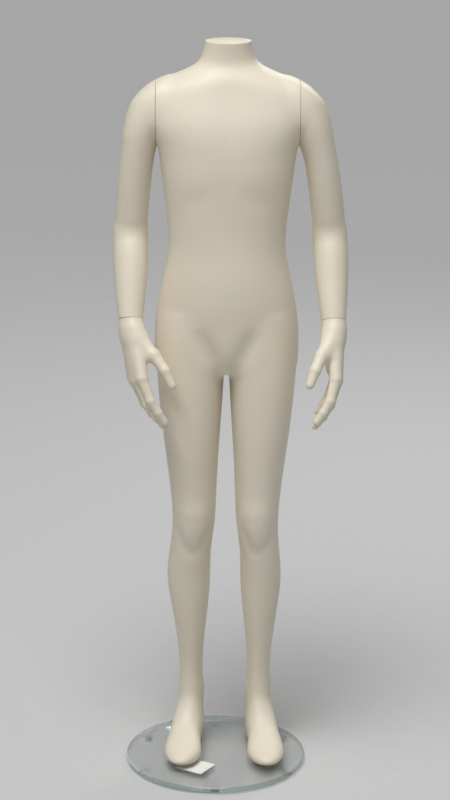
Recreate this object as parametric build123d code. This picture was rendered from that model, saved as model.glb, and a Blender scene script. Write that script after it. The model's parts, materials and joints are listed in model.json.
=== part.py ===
from build123d import *

import math
import os

# A headless full body display mannequin on a round glass base, as an assembly of its real pieces.
# Millimetres, +Z up. The origin is on the floor under the figure's midline. The figure faces -Y, so its own
# left side is at +X. The trunk, legs and feet are one hollow laminate with cast ankles and feet, which drops
# onto a steel spigot that stands on the glass. Each arm hangs on a square peg in a bush that turns in the
# shoulder, and each hand on a smaller square peg in a bush that turns in the end of the forearm.

SIDES = {"left": 1, "right": -1}
WALL = 3.5  # laminate thickness

# Glass base, on clear bumpers
GLASS_X = -15.0
GLASS_Y = 0.0
GLASS_R = 152.5
GLASS_T = 10.0
GLASS_BEVEL = 1.5
BUMPER_COUNT = 6
BUMPER_R = 7.0
BUMPER_H = 2.0
BUMPER_ROUND = 0.9
BUMPER_RING_R = 135.0
GLASS_TOP = BUMPER_H + GLASS_T

# Spigot that carries the figure, in the heel of the left foot
ANKLE_X = 57.5
SPIGOT_Y = 62.0
SPIGOT_R = 5.0
SPIGOT_H = 100.0  # above its flange
SPIGOT_POINT = 2.0
STUB_R = 7.0  # the boss under the flange, inside the glass
STUB_H = 4.2
FLANGE_R = 20.0
FLANGE_T = 4.0
GASKET_T = 1.0
GLASS_HOLE_R = 8.0
COUNTERSINK_R = 14.0
CLAMP_SCREW_R = 3.0
CLAMP_HEAD_R = 8.0
CLAMP_HEAD_T = CLAMP_HEAD_R - CLAMP_SCREW_R
CLAMP_HEAD_Z = BUMPER_H + 0.6
CLAMP_SCREW_TOP = 24.0
CLAMP_KEY_R = 2.8
CLAMP_KEY_DEPTH = 3.5
SOCKET_TUBE_R = 7.5
SOCKET_TUBE_CAP = 2.0
SLIDING_GAP = 0.1
FLANGE_TOP = GLASS_TOP + GASKET_T + FLANGE_T
SOLE_Z = FLANGE_TOP + 0.3  # underside of both feet
SOCKET_DEPTH = SPIGOT_H + 1.0

# Folded levelling card that lies on the glass under the right foot
CARD_W = 46.0
CARD_L = 50.0
CARD_LEAF_T = 0.6
CARD_GAP = 0.3
CARD_X = -48.0
CARD_Y = -67.0
CARD_TURN = 58.0

# Joint faces: the flat seam at each shoulder and each wrist, with a hairline between the two sides
SEAM_X = 116.0
SEAM_GAP = 0.6
SHOULDER_Y = 26.0
SHOULDER_Z = 1112.0
SEAM_LOW_Z = 1060.0  # the shoulder seam is cut down to here

# Arm: the elbow and wrist of each side
ELBOW_Y = 45.0
ELBOW_Z = 915.0
FOREARM_TILT = 25.0  # degrees forward of straight down
FOREARM_L = 148.0  # from the elbow to the joint face above the wrist
ELBOW_X = {"left": 168.0, "right": 158.5}
WRIST_X = {"left": 174.5, "right": 157.0}
WRIST_TURN = {"left": 0.0, "right": 24.0}  # degrees, thumb towards the body
HAND_LEAN = {"left": 0.05, "right": 0.16}  # drift towards the body per length of hand


class Fitting:
    """Sizes of one square-peg fitting: a housing in the fixed side, a bush that turns in it, and the peg.

    Distances run along the joint's axis from the middle of the hairline, towards the piece that comes off.
    """

    def __init__(self, bush_r, bush_l, sleeve_r, flange_r, flange_t, peg_w, peg_flange_r, opening_r):
        self.bush_r = bush_r
        self.bush_l = bush_l
        self.sleeve_r = sleeve_r
        self.flange_r = flange_r
        self.flange_t = flange_t
        self.peg_w = peg_w
        self.peg_flange_r = peg_flange_r
        self.opening_r = opening_r
        self.face = SEAM_GAP / 2
        self.retainer_t = RETAINER_T
        self.retainer_r = (bush_r + sleeve_r) / 2
        self.retainer_top = -self.face - RETAINER_INSET
        self.bush_top = self.retainer_top - self.retainer_t - END_GAP
        self.bush_low = self.bush_top - bush_l
        self.spring_hole_r = bush_r * SPRING_HOLE_SHARE
        self.spring_low = self.bush_low - END_GAP - SPRING_T
        self.housing_low = self.spring_low - HOUSING_FLOOR


END_GAP = 0.3
RUNNING_GAP = 0.05
PEG_GAP = 0.1
PEG_CHAMFER = 1.5
HOUSING_FLOOR = 2.5
RETAINER_T = 2.1
RETAINER_INSET = 0.5
WRENCH_HOLE_SHARE = 0.2  # of the retainer ring's width
SPRING_T = 0.8
SPRING_HOLE_SHARE = 0.7  # of the bush's radius
SHOULDER_FIT = Fitting(21.0, 23.0, 25.0, 33.0, 3.0, 20.0, 24.0, 17.5)
WRIST_FIT = Fitting(9.0, 18.0, 12.0, 12.0, 3.0, 10.0, 13.0, 7.8)
SEAM_WALL = 6.0  # laminate thickness behind each shoulder joint face
BODY_BLOCK_R = 33.0
BODY_BLOCK_T = 15.0
ARM_BLOCK_R = 24.0
ARM_BLOCK_T = 12.0
HAND_STUD_R = 4.0
HAND_STUD_L = 18.0

# Countersunk wood screws of the shoulder fittings
SCREW_R = 1.8
SCREW_HEAD_R = 3.2
SCREW_POINT_R = 0.3
SCREW_KEY_R = 1.2
SCREW_KEY_DEPTH = 1.2
SCREWS_PER_FITTING = 3
HOUSING_SCREW_RING_R = 29.0
HOUSING_SCREW_L = 16.0
ARM_SCREW_RING_R = 19.5
ARM_SCREW_L = 14.0

# Body sections, top down: height, half width, front, back, squareness
TORSO = [
    (1231.0, 36.0, -10.0, 60.0, 2.0),
    (1212.0, 40.3, -14.0, 64.0, 2.0),
    (1198.0, 46.5, -17.0, 69.0, 2.0),
    (1187.0, 61.0, -19.0, 74.0, 2.0),
    (1174.0, 92.0, -22.0, 79.0, 2.1),
    (1161.0, 126.0, -25.0, 83.0, 2.3),
    (1140.0, 140.0, -32.0, 88.0, 2.5),
    (1105.0, 137.0, -43.0, 94.0, 2.5),
    (1066.0, 116.5, -49.0, 97.0, 2.5),
    (1013.0, 107.5, -50.0, 94.0, 2.4),
    (955.0, 99.5, -45.0, 86.0, 2.3),
    (896.0, 93.5, -42.0, 80.0, 2.2),
    (850.0, 103.0, -45.0, 92.0, 2.2),
    (800.0, 113.5, -46.0, 110.0, 2.2),
    (757.0, 117.0, -43.0, 119.0, 2.3),
    (722.0, 112.0, -36.0, 113.0, 2.3),
    (690.0, 96.0, -22.0, 96.0, 2.2),
]

# Leg sections, top down: height, inner side, outer side, front, back, squareness
LEG = [
    (775.0, 12.0, 106.0, -28.0, 103.0, 2.3),
    (735.0, 6.0, 115.5, -37.0, 116.0, 2.4),
    (690.0, 3.5, 116.0, -37.0, 113.0, 2.5),
    (640.0, 6.5, 112.0, -37.0, 102.0, 2.3),
    (590.0, 9.5, 107.0, -36.0, 96.0, 2.2),
    (530.0, 13.5, 99.0, -31.0, 89.0, 2.1),
    (470.0, 16.0, 91.5, -25.0, 81.0, 2.1),
    (420.0, 17.5, 87.5, -20.0, 76.0, 2.1),
    (371.0, 26.0, 91.0, -12.0, 73.0, 2.1),
    (320.0, 25.5, 96.0, -1.0, 87.0, 2.1),
    (263.0, 29.0, 90.0, 7.0, 93.0, 2.1),
    (202.0, 36.0, 81.5, 19.0, 89.0, 2.0),
    (145.0, 38.5, 77.0, 31.0, 86.0, 2.0),
    (100.0, 37.0, 80.0, 30.0, 93.0, 2.0),
    (60.0, 36.5, 80.0, 20.0, 98.0, 2.0),
]
CAVITY_FLOOR_Z = 145.0  # the ankles and feet below here are cast solid

# Foot sections, heel to toe: distance from the heel, half width, underside, top, squareness
FOOT_TURN_OUT = 5.5
HEEL_X = 56.0
HEEL_Y = 106.0
FOOT = [
    (0.0, 12.0, 30.0, 56.0, 2.0),
    (7.0, 23.0, 20.0, 78.0, 2.1),
    (22.0, 28.5, SOLE_Z, 94.0, 2.3),
    (50.0, 29.0, SOLE_Z, 102.0, 2.4),
    (82.0, 28.5, SOLE_Z, 88.0, 2.4),
    (115.0, 30.5, SOLE_Z, 64.0, 2.4),
    (142.0, 33.0, SOLE_Z, 48.0, 2.4),
    (162.0, 30.0, SOLE_Z, 43.0, 2.3),
    (178.0, 24.0, SOLE_Z + 1.0, 39.0, 2.1),
    (189.0, 15.5, SOLE_Z + 3.5, 34.0, 2.0),
    (194.0, 7.0, SOLE_Z + 6.5, 29.0, 2.0),
]

# Arm sections above the armpit, top down: height, middle from the midline, half width, half depth
SHOULDER = [
    (1165.0, 112.0, 16.0, 26.0),
    (1154.0, 115.0, 26.5, 34.0),
    (1138.0, 119.0, 35.5, 40.0),
    (1110.0, 127.0, 37.5, 43.0),
    (1080.0, 139.0, 31.0, 40.0),
]
SHOULDER_SQUARENESS = 2.1
# Upper arm: height, share of the way out to the elbow, middle (front to back), half width, half depth
UPPER_ARM = [
    (1048.0, 0.35, 28.0, 26.5, 36.0),
    (1000.0, 0.65, 34.0, 27.0, 33.0),
    (955.0, 0.85, 40.0, 27.3, 31.5),
]
# Forearm: distance from the elbow, half width, half depth
FOREARM = [
    (0.0, 27.5, 32.0),
    (35.0, 28.8, 31.0),
    (75.0, 27.5, 29.0),
    (115.0, 23.5, 26.0),
    (FOREARM_L, 20.3, 23.0),
]
FOREARM_PLUG_L = 33.0  # cast solid above the wrist
FOREARM_PLUG_R = 48.0  # wider than the forearm

# Right hand in its own frame: x towards the body, y forward, z from the joint face towards the fingertips.
# Palm: distance, middle across, middle front to back, half width, half depth
PALM = [
    (0.3, 0.0, 0.0, 20.3, 23.0),
    (18.0, 0.0, 0.0, 18.3, 21.5),
    (38.0, 0.0, 0.0, 17.0, 21.5),
    (60.0, 0.0, 2.0, 16.0, 25.0),
    (82.0, -2.0, 1.0, 14.0, 28.5),
    (100.0, -4.5, -1.0, 11.0, 26.5),
    (107.0, -4.0, -1.0, 7.5, 22.0),
]
PALM_SQUARENESS = 2.2
# Each finger, from its root to its tip: place and radius of each joint
INDEX = [(-4, 17, 92, 8.4), (-1, 18, 108, 8.8), (11, 18, 136, 7.6), (22, 16, 152, 6.8), (30, 13, 164, 5.8)]
MIDDLE = [(-6, 5, 92, 8.4), (-2, 5, 110, 8.9), (11, 5, 142, 7.6), (23, 4, 159, 6.8), (32, 3, 170, 5.8)]
RING = [(-6, -8, 90, 8.2), (-2, -8, 107, 8.5), (12, -8, 137, 7.3), (24, -7, 152, 6.5), (32, -6, 163, 5.6)]
LITTLE = [(-4, -17, 84, 7.4), (0, -19, 100, 7.7), (11, -19, 123, 6.6), (20, -18, 135, 5.9), (27, -17, 144, 5)]
THUMB = [(4, 8, 36, 11.0), (15, 20, 55, 11.5), (28, 31, 74, 9.6), (36, 37, 94, 8.2), (42, 36, 113, 6.6)]
DIGITS = (INDEX, MIDDLE, RING, LITTLE, THUMB)
# Each fingertip's rounding: distance past the last joint and radius, as shares of that joint's radius
FINGERTIP = [(0.5, 0.87), (0.85, 0.52), (0.98, 0.15)]

SECTION_POINTS = 16
REACH = 1300.0  # larger than any cut


def ring_points(half_x, middle_x, front, back, squareness):
    """Points round a superellipse."""
    points = []
    middle_y = (front + back) / 2
    half_y = (back - front) / 2
    for i in range(SECTION_POINTS):
        turn = 2 * math.pi * i / SECTION_POINTS
        c, s = math.cos(turn), math.sin(turn)
        x = middle_x + half_x * math.copysign(abs(c) ** (2 / squareness), c)
        y = middle_y + half_y * math.copysign(abs(s) ** (2 / squareness), s)
        points.append((x, y))
    return points


def section(plane, half_x, middle_x, front, back, squareness=2.0):
    """A closed smooth wire on a plane."""
    outline = ring_points(half_x, middle_x, front, back, squareness)
    return Wire([Edge.make_spline([plane.from_local_coords((x, y, 0)) for x, y in outline], periodic=True)])


def level(z):
    return Plane((0, 0, z), x_dir=(1, 0, 0), z_dir=(0, 0, 1))


def torso(inset=0.0):
    """Neck, trunk and hips down to the crotch."""
    last = len(TORSO) - 1
    wires = []
    for i, (z, half, front, back, squareness) in enumerate(TORSO):
        z += {0: -inset, last: inset}.get(i, 0.0)
        wires.append(section(level(z), half - inset, 0.0, front + inset, back - inset, squareness))
    return Solid.make_loft(wires)


def leg(side, inset=0.0):
    """One leg from inside the hips to inside the foot."""
    wires = []
    for z, inner, outer, front, back, squareness in LEG:
        half = (outer - inner) / 2 - inset
        middle = side * (outer + inner) / 2
        wires.append(section(level(z), half, middle, front + inset, back - inset, squareness))
    return Solid.make_loft(wires)


def foot(side):
    """One cast foot, turned out a little about its heel."""
    wires = []
    for run, half, low, high, squareness in FOOT:
        plane = Plane((0, -run, 0), x_dir=(1, 0, 0), z_dir=(0, -1, 0))
        wires.append(section(plane, half, 0.0, low, high, squareness))
    turned = Solid.make_loft(wires).rotate(Axis.Z, side * FOOT_TURN_OUT)
    return turned.moved(Location((side * HEEL_X, HEEL_Y, 0)))


def shoulder_plane(name):
    """The middle of the shoulder seam: z outwards, x up."""
    side = SIDES[name]
    return Plane((side * SEAM_X, SHOULDER_Y, SHOULDER_Z), x_dir=(0, 0, 1), z_dir=(side, 0, 0))


def elbow(name):
    return Vector(SIDES[name] * ELBOW_X[name], ELBOW_Y, ELBOW_Z)


def forearm_direction(name):
    down = math.radians(FOREARM_TILT)
    out = SIDES[name] * (WRIST_X[name] - ELBOW_X[name]) / FOREARM_L
    return Vector(out, -math.sin(down), -math.cos(down)).normalized()


def wrist_plane(name):
    """The joint face above the wrist: z towards the fingers, x towards the figure's left."""
    down = forearm_direction(name)
    return Plane(elbow(name) + down * FOREARM_L, x_dir=(1, 0, 0), z_dir=down)


def arm_loft(name, inset=0.0):
    """One arm from the top of the shoulder to the joint face above the wrist."""
    side = SIDES[name]
    start = SHOULDER[-1][1]
    wires = []
    for z, middle, half_x, half_y in SHOULDER:
        plane = Plane((side * middle, SHOULDER_Y, z), x_dir=(1, 0, 0), z_dir=(0, 0, -1))
        wires.append(section(plane, half_x - inset, 0.0, inset - half_y, half_y - inset, SHOULDER_SQUARENESS))
    for z, share, middle_y, half_x, half_y in UPPER_ARM:
        middle = start + share * (ELBOW_X[name] - start)
        plane = Plane((side * middle, middle_y, z), x_dir=(1, 0, 0), z_dir=(0, 0, -1))
        wires.append(section(plane, half_x - inset, 0.0, inset - half_y, half_y - inset))
    down = forearm_direction(name)
    for run, half_x, half_y in FOREARM:
        facing = down if run else (down + Vector(0, 0, -1)).normalized()
        reach = run - (SEAM_GAP / 2 if run == FOREARM_L else 0.0)
        plane = Plane(elbow(name) + down * reach, x_dir=(1, 0, 0), z_dir=facing)
        wires.append(section(plane, half_x - inset, 0.0, inset - half_y, half_y - inset))
    return Solid.make_loft(wires)


def digit(joints, lean):
    """One finger or thumb as a loft through its joints, rounded off at its tip."""
    places = [Vector(x + lean * z, y, z) for x, y, z, radius in joints]
    wires = []
    for i, (place, joint) in enumerate(zip(places, joints)):
        along = (places[min(i + 1, len(places) - 1)] - places[max(i - 1, 0)]).normalized()
        wires.append(Wire.make_circle(joint[3], Plane(place, x_dir=(0, 1, 0), z_dir=along)))
    tip_r = joints[-1][3]
    for reach, share in FINGERTIP:
        plane = Plane(places[-1] + along * tip_r * reach, x_dir=(0, 1, 0), z_dir=along)
        wires.append(Wire.make_circle(tip_r * share, plane))
    return Solid.make_loft(wires, ruled=True)


def hand_shape(lean):
    """A right hand in its own frame, fingers curled towards the thigh."""
    wires = []
    for run, x, y, half_x, half_y in PALM:
        plane = Plane((x + lean * run, y, run), x_dir=(1, 0, 0), z_dir=(0, 0, 1))
        wires.append(section(plane, half_x, 0.0, -half_y, half_y, PALM_SQUARENESS))
    return Solid.make_loft(wires).fuse(*[digit(joints, lean) for joints in DIGITS])


def disc(plane, radius, low, high):
    """A cylinder between two distances along a plane's axis."""
    return plane.offset(low) * Cylinder(radius, high - low, align=(Align.CENTER, Align.CENTER, Align.MIN))


def cone(plane, low_r, high_r, low, high):
    return plane.offset(low) * Cone(low_r, high_r, high - low, align=(Align.CENTER, Align.CENTER, Align.MIN))


def square_bar(plane, width, low, high):
    return plane.offset(low) * Box(width, width, high - low, align=(Align.CENTER, Align.CENTER, Align.MIN))


def outer_side(name, beyond, low_z):
    """Everything further out than a distance from the midline, above a height."""
    corner = Box(REACH, REACH, REACH, align=(Align.MIN, Align.CENTER, Align.MIN))
    moved = Pos(beyond, 0, low_z) * corner
    return moved if name == "left" else mirror(moved, about=Plane.YZ)


def around(plane, radius, count, phase=90.0):
    """Planes spaced evenly round a circle."""
    spots = PolarLocations(radius, count, start_angle=phase, rotate=False)
    return [Plane(plane.location * spot) for spot in spots]


def screw_hole(plane, length):
    """The space that a countersunk screw fills: its head flush with the plane and its point below."""
    head_t = SCREW_HEAD_R - SCREW_R
    shape = disc(plane, SCREW_R, -length + SCREW_R, -head_t)
    shape += cone(plane, SCREW_POINT_R, SCREW_R, -length, -length + SCREW_R)
    return shape + cone(plane, SCREW_R, SCREW_HEAD_R, -head_t, 0)


def wood_screw(plane, length):
    key = plane.offset(-SCREW_KEY_DEPTH) * extrude(RegularPolygon(SCREW_KEY_R, 6), SCREW_KEY_DEPTH)
    return screw_hole(plane, length) - key


def housing_screws(name, make=wood_screw):
    """The housing's screws, driven into the body, or their holes."""
    face = shoulder_plane(name).offset(-SHOULDER_FIT.face)
    return [make(place, HOUSING_SCREW_L) for place in around(face, HOUSING_SCREW_RING_R, SCREWS_PER_FITTING)]


def arm_screws(name, make=wood_screw):
    """The peg's screws, driven from the seam into the arm, or their holes."""
    side = SIDES[name]
    x = side * (SEAM_X + SHOULDER_FIT.face)
    face = Plane((x, SHOULDER_Y, SHOULDER_Z), x_dir=(0, 0, 1), z_dir=(-side, 0, 0))
    return [make(place, ARM_SCREW_L) for place in around(face, ARM_SCREW_RING_R, SCREWS_PER_FITTING)]


def housing(plane, fit):
    """A cup with a flange: the bush turns in it."""
    shape = disc(plane, fit.sleeve_r, fit.housing_low, -fit.face)
    if fit.flange_r > fit.sleeve_r:
        shape += disc(plane, fit.flange_r, -fit.face - fit.flange_t, -fit.face)
    shape -= disc(plane, fit.bush_r + RUNNING_GAP, fit.spring_low, -fit.face)
    return shape - disc(plane, fit.retainer_r, fit.retainer_top - fit.retainer_t, -fit.face)


def retainer(plane, fit):
    """The ring that holds the bush in its housing, with two holes for a pin wrench."""
    low = fit.retainer_top - fit.retainer_t
    ring = disc(plane, fit.retainer_r, low, fit.retainer_top)
    ring -= disc(plane, fit.opening_r, low, fit.retainer_top)
    wrench_ring_r = (fit.retainer_r + fit.opening_r) / 2
    wrench_hole_r = (fit.retainer_r - fit.opening_r) * WRENCH_HOLE_SHARE
    for place in around(plane, wrench_ring_r, 2):
        ring -= disc(place, wrench_hole_r, low, fit.retainer_top)
    return ring


def friction_spring(plane, fit):
    """The spring ring at the bottom of a housing that makes the bush stiff to turn."""
    top = fit.spring_low + SPRING_T
    outer = disc(plane, fit.bush_r - RUNNING_GAP, fit.spring_low, top)
    return outer - disc(plane, fit.spring_hole_r, fit.spring_low, top)


def bush(plane, fit):
    shape = disc(plane, fit.bush_r, fit.bush_low, fit.bush_top)
    return shape - square_bar(plane, fit.peg_w + 2 * PEG_GAP, fit.bush_low, fit.bush_top)


def peg(plane, fit):
    """A square bar that slides into the bush, on a round flange let into the piece that comes off."""
    low = fit.bush_low + END_GAP
    bar = square_bar(plane, fit.peg_w, low, fit.face)
    end = bar.faces().sort_by(Axis(plane.origin, plane.z_dir))[0]
    bar = chamfer(end.edges(), PEG_CHAMFER)
    return bar + disc(plane, fit.peg_flange_r, fit.face, fit.face + fit.flange_t)


def shoulder_pieces(name):
    """The fitting of one shoulder, apart from the shells."""
    plane, fit = shoulder_plane(name), SHOULDER_FIT
    wall = -fit.face - SEAM_WALL
    cup = housing(plane, fit)
    body_block = disc(plane, BODY_BLOCK_R, wall - BODY_BLOCK_T, wall)
    body_block -= disc(plane, fit.sleeve_r, wall - BODY_BLOCK_T, wall)
    arm_block = disc(plane, ARM_BLOCK_R, -wall, ARM_BLOCK_T - wall)
    arm_peg = peg(plane, fit)
    for hole in housing_screws(name, screw_hole):
        cup -= hole
        body_block -= hole
    for hole in arm_screws(name, screw_hole):
        arm_peg -= hole
        arm_block -= hole
    return {
        f"{name}_shoulder_housing": cup,
        f"{name}_shoulder_block": body_block,
        f"{name}_shoulder_retainer": retainer(plane, fit),
        f"{name}_shoulder_spring": friction_spring(plane, fit),
        f"{name}_shoulder_bush": bush(plane, fit),
        f"{name}_arm_peg": arm_peg,
        f"{name}_arm_block": arm_block,
        f"{name}_arm_screws": Compound(children=arm_screws(name)),
    }


def body_shell():
    """Trunk, legs and feet in one laminate, hollow down to the ankles, with a flat face at each shoulder."""
    above = Box(REACH, REACH, REACH, align=(Align.CENTER, Align.CENTER, Align.MIN))
    outer = torso().fuse(leg(1), leg(-1), foot(1), foot(-1))
    inner = torso(WALL).fuse(leg(1, WALL), leg(-1, WALL)) & (Pos(0, 0, CAVITY_FLOOR_Z) * above)
    face_x = SEAM_X - SHOULDER_FIT.face
    for name in SIDES:
        root = arm_loft(name) & outer_side(name, SEAM_X - ARM_BLOCK_R, SEAM_LOW_Z)
        outer = outer + root - outer_side(name, face_x, SEAM_LOW_Z)
        inner = inner - outer_side(name, face_x - SEAM_WALL, SEAM_LOW_Z)
    shell = outer - inner
    for name in SIDES:
        plane, fit = shoulder_plane(name), SHOULDER_FIT
        shell -= disc(plane, fit.sleeve_r, fit.housing_low, 0)
        shell -= disc(plane, fit.flange_r, -fit.face - fit.flange_t, 0)
        for hole in housing_screws(name, screw_hole):
            shell -= hole
    return shell - disc(spigot_plane(), SOCKET_TUBE_R, 0, SOLE_Z + SOCKET_DEPTH + SOCKET_TUBE_CAP)


def arm_shell(name):
    """One arm, hollow from the shoulder to above the wrist, with a flat face at each end."""
    fit = SHOULDER_FIT
    outer = arm_loft(name) + (torso() & outer_side(name, SEAM_X, SEAM_LOW_Z))
    outer &= outer_side(name, SEAM_X + fit.face, 0)
    inner = arm_loft(name, WALL) & outer_side(name, SEAM_X + fit.face + SEAM_WALL, 0)
    inner -= disc(wrist_plane(name), FOREARM_PLUG_R, -FOREARM_PLUG_L, FOREARM_L)
    shell = outer - inner - disc(shoulder_plane(name), fit.peg_flange_r, 0, fit.face + fit.flange_t)
    for hole in arm_screws(name, screw_hole):
        shell -= hole
    return shell - disc(wrist_plane(name), WRIST_FIT.sleeve_r, WRIST_FIT.housing_low, 0)


def wrist_pieces(name):
    """The hand and the fitting of one wrist."""
    plane, fit = wrist_plane(name), WRIST_FIT
    shape = hand_shape(HAND_LEAN[name])
    if name == "left":
        shape = mirror(shape, about=Plane.YZ)
    turned = shape.rotate(Axis.Z, SIDES[name] * WRIST_TURN[name])
    stud_end = fit.face + fit.flange_t + HAND_STUD_L
    recess = disc(plane, fit.peg_flange_r, 0, fit.face + fit.flange_t) + disc(plane, HAND_STUD_R, 0, stud_end)
    return {
        f"{name}_wrist_housing": housing(plane, fit),
        f"{name}_wrist_retainer": retainer(plane, fit),
        f"{name}_wrist_bush": bush(plane, fit),
        f"{name}_hand": plane.location * turned - recess,
        f"{name}_hand_peg": peg(plane, fit) + disc(plane, HAND_STUD_R, fit.face, stud_end),
    }


def spigot_plane():
    return Plane((ANKLE_X, SPIGOT_Y, 0))


def glass_plane():
    return Plane((GLASS_X, GLASS_Y, 0))


def glass_base():
    """The glass disc, with polished bevels and one countersunk hole."""
    shape = disc(glass_plane(), GLASS_R, BUMPER_H, GLASS_TOP)
    shape = chamfer(shape.edges(), GLASS_BEVEL)
    shape -= disc(spigot_plane(), GLASS_HOLE_R, 0, GLASS_TOP)
    neck_z = BUMPER_H + COUNTERSINK_R - GLASS_HOLE_R
    return shape - cone(spigot_plane(), COUNTERSINK_R, GLASS_HOLE_R, BUMPER_H, neck_z)


def bumpers():
    """Clear domed pads under the glass."""
    pads = []
    for place in around(glass_plane(), BUMPER_RING_R, BUMPER_COUNT):
        pad = disc(place, BUMPER_R, 0, BUMPER_H)
        pads.append(fillet(pad.edges().sort_by(Axis.Z)[0], BUMPER_ROUND))
    return Compound(children=pads)


def clamp_screw():
    """The countersunk screw that pulls the spigot down from under the glass."""
    plane = spigot_plane()
    head_top = CLAMP_HEAD_Z + CLAMP_HEAD_T
    screw = cone(plane, CLAMP_HEAD_R, CLAMP_SCREW_R, CLAMP_HEAD_Z, head_top)
    screw += disc(plane, CLAMP_SCREW_R, head_top, CLAMP_SCREW_TOP)
    key = plane.offset(CLAMP_HEAD_Z) * extrude(RegularPolygon(CLAMP_KEY_R, 6), CLAMP_KEY_DEPTH)
    return screw - key


def foot_spigot():
    """Rod, flange and boss in one turned piece, tapped from below."""
    plane = spigot_plane()
    low = GLASS_TOP - STUB_H
    tip = FLANGE_TOP + SPIGOT_H
    shape = disc(plane, STUB_R, low, GLASS_TOP + GASKET_T)
    shape += disc(plane, FLANGE_R, GLASS_TOP + GASKET_T, FLANGE_TOP)
    shape += disc(plane, SPIGOT_R, FLANGE_TOP, tip)
    shape = chamfer(shape.edges().sort_by(Axis.Z)[-1], SPIGOT_POINT)
    return shape - disc(plane, CLAMP_SCREW_R, low, CLAMP_SCREW_TOP)


def spigot_sleeve():
    """The nylon sleeve that keeps the steel off the glass."""
    plane = spigot_plane()
    neck_z = BUMPER_H + COUNTERSINK_R - GLASS_HOLE_R
    shape = cone(plane, COUNTERSINK_R, GLASS_HOLE_R, BUMPER_H, neck_z)
    shape += disc(plane, GLASS_HOLE_R, neck_z, GLASS_TOP)
    shape -= disc(plane, STUB_R, GLASS_TOP - STUB_H, GLASS_TOP)
    shape -= disc(plane, CLAMP_HEAD_R, BUMPER_H, CLAMP_HEAD_Z)
    return shape - clamp_screw() - disc(plane, CLAMP_SCREW_R, CLAMP_HEAD_Z, GLASS_TOP)


def socket_tube():
    """The closed steel tube cast into the left heel."""
    plane = spigot_plane()
    top = SOLE_Z + SOCKET_DEPTH
    tube = disc(plane, SOCKET_TUBE_R, SOLE_Z, top + SOCKET_TUBE_CAP)
    return tube - disc(plane, SPIGOT_R + SLIDING_GAP, SOLE_Z, top)


def levelling_card():
    """A piece of card folded once."""
    flat = (Align.CENTER, Align.CENTER, Align.MIN)
    leaf = Box(CARD_W, CARD_L, CARD_LEAF_T, align=flat)
    fold = Box(CARD_W, CARD_LEAF_T, 2 * CARD_LEAF_T + CARD_GAP, align=flat)
    card = leaf + Pos(0, 0, CARD_LEAF_T + CARD_GAP) * leaf + Pos(0, (CARD_L - CARD_LEAF_T) / 2, 0) * fold
    return Pos(CARD_X, CARD_Y, GLASS_TOP) * Rot(0, 0, CARD_TURN) * card


def all_pieces():
    gasket = disc(spigot_plane(), FLANGE_R, GLASS_TOP, GLASS_TOP + GASKET_T)
    pieces = {
        "glass_base": glass_base(),
        "base_bumpers": bumpers(),
        "foot_spigot": foot_spigot(),
        "spigot_gasket": gasket - disc(spigot_plane(), STUB_R, GLASS_TOP, GLASS_TOP + GASKET_T),
        "spigot_sleeve": spigot_sleeve(),
        "clamp_screw": clamp_screw(),
        "levelling_card": levelling_card(),
        "body_shell": body_shell(),
        "foot_socket_tube": socket_tube(),
        "shoulder_screws": Compound(children=housing_screws("left") + housing_screws("right")),
    }
    for name in SIDES:
        pieces[f"{name}_arm_shell"] = arm_shell(name)
        pieces.update(shoulder_pieces(name))
        pieces.update(wrist_pieces(name))
    return pieces


os.makedirs("parts", exist_ok=True)
for node, shape in all_pieces().items():
    export_step(shape, f"parts/{node}.step")
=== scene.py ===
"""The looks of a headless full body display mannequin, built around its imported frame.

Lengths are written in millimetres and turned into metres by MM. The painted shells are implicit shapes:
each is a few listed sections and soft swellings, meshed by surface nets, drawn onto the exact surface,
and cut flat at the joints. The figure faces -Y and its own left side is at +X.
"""

import json
import math

import bmesh
import bpy
import numpy as np
from mathutils import Matrix, Vector


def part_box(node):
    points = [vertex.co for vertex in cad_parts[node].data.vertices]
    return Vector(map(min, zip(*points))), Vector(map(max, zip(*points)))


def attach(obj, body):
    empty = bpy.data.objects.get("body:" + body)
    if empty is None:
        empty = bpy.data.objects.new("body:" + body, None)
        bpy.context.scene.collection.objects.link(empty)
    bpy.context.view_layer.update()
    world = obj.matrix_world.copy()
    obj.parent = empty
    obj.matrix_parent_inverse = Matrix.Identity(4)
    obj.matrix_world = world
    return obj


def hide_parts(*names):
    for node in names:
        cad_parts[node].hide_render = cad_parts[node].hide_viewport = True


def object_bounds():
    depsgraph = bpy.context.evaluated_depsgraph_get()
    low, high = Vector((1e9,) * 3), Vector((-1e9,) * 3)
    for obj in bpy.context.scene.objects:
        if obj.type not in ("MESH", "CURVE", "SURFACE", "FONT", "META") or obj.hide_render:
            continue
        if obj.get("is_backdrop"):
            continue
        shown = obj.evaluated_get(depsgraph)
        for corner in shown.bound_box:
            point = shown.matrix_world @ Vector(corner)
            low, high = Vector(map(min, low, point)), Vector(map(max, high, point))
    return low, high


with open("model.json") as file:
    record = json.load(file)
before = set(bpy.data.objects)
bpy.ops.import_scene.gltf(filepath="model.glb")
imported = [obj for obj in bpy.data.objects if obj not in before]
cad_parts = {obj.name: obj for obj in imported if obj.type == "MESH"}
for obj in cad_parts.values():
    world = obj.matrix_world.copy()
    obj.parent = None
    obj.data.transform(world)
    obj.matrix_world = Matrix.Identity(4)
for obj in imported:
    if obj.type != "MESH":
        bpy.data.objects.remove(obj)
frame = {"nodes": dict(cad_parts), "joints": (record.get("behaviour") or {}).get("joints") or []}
cad_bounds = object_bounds()

MM = 0.001
SIDES = {"left": 1, "right": -1}

# ---------------------------------------------------------------- sizes shared with the frame

joints = {j["name"]: j for j in frame["joints"]}


def joint_place(name):
    return np.array(joints[name]["pos_m"]) / MM


def joint_axis(name):
    return np.array(joints[name]["axis"], float)


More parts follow.
